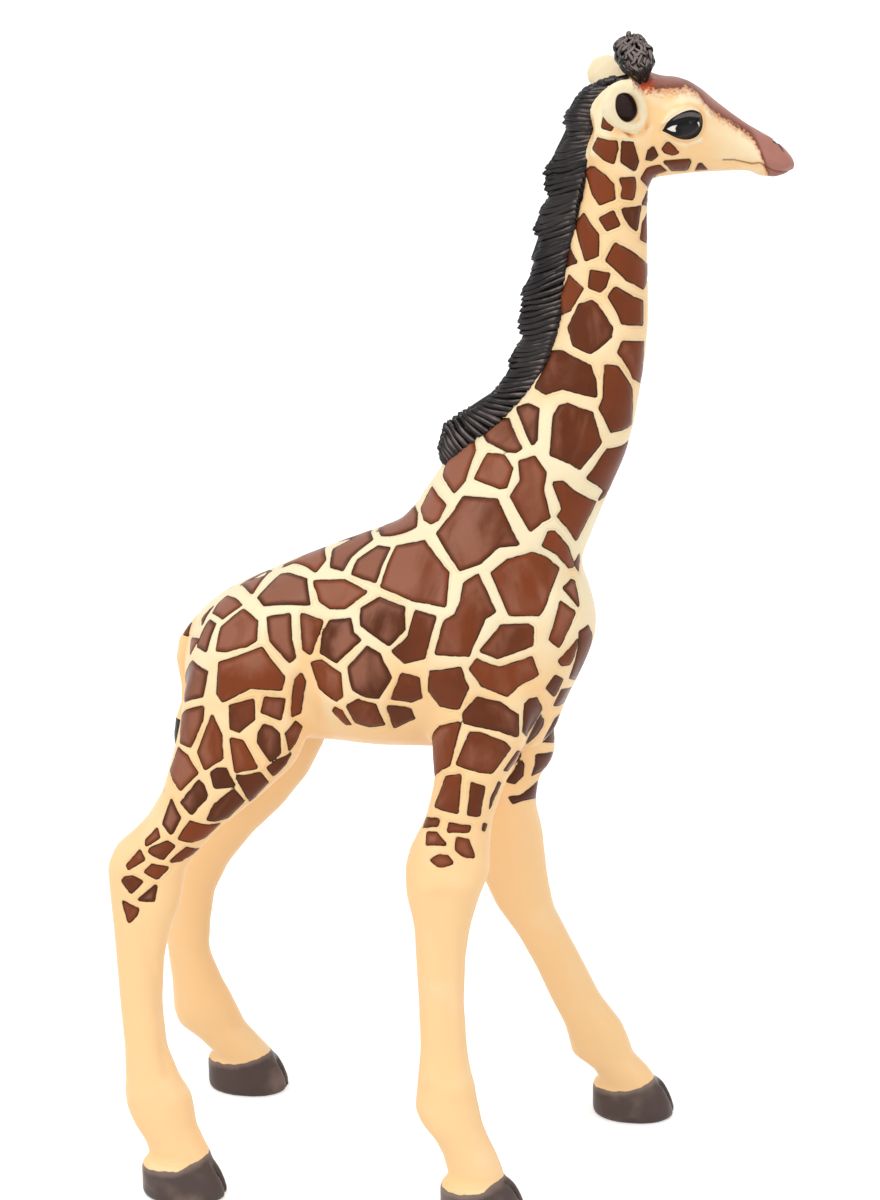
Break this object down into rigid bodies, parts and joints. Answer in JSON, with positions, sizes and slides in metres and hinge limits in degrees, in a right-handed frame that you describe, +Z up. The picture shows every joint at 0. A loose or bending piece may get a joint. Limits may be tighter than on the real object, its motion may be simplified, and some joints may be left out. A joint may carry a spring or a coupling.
{
  "type": "toy giraffe calf figure",
  "caption": "Free-standing painted vinyl figure of a giraffe calf, walking with its head turned to its left, with a dark mane and cloven hooves.",
  "frame": {"origin": "on the ground, in the middle of the figure's bounding box", "axes": "+X towards the nose and the way the figure walks, +Y towards its left side, +Z up"},
  "size_m": [0.079, 0.0378, 0.14],
  "materials": {
    "coat": "solid vinyl, hand painted: cream ground with brown patches, dark hooves, satin varnish",
    "hair": "solid vinyl painted near black, grey on the raised strands"
  },
  "bodies": {
    "root": {"torso": "coat", "neck": "coat", "head": "coat", "mane": "hair", "right_ear": "coat", "left_ear": "coat", "right_ossicone": "hair", "left_ossicone": "hair", "right_foreleg": "coat", "left_foreleg": "coat", "right_hindleg": "coat", "left_hindleg": "coat", "tail": "coat"}
  },
  "joints": []
}
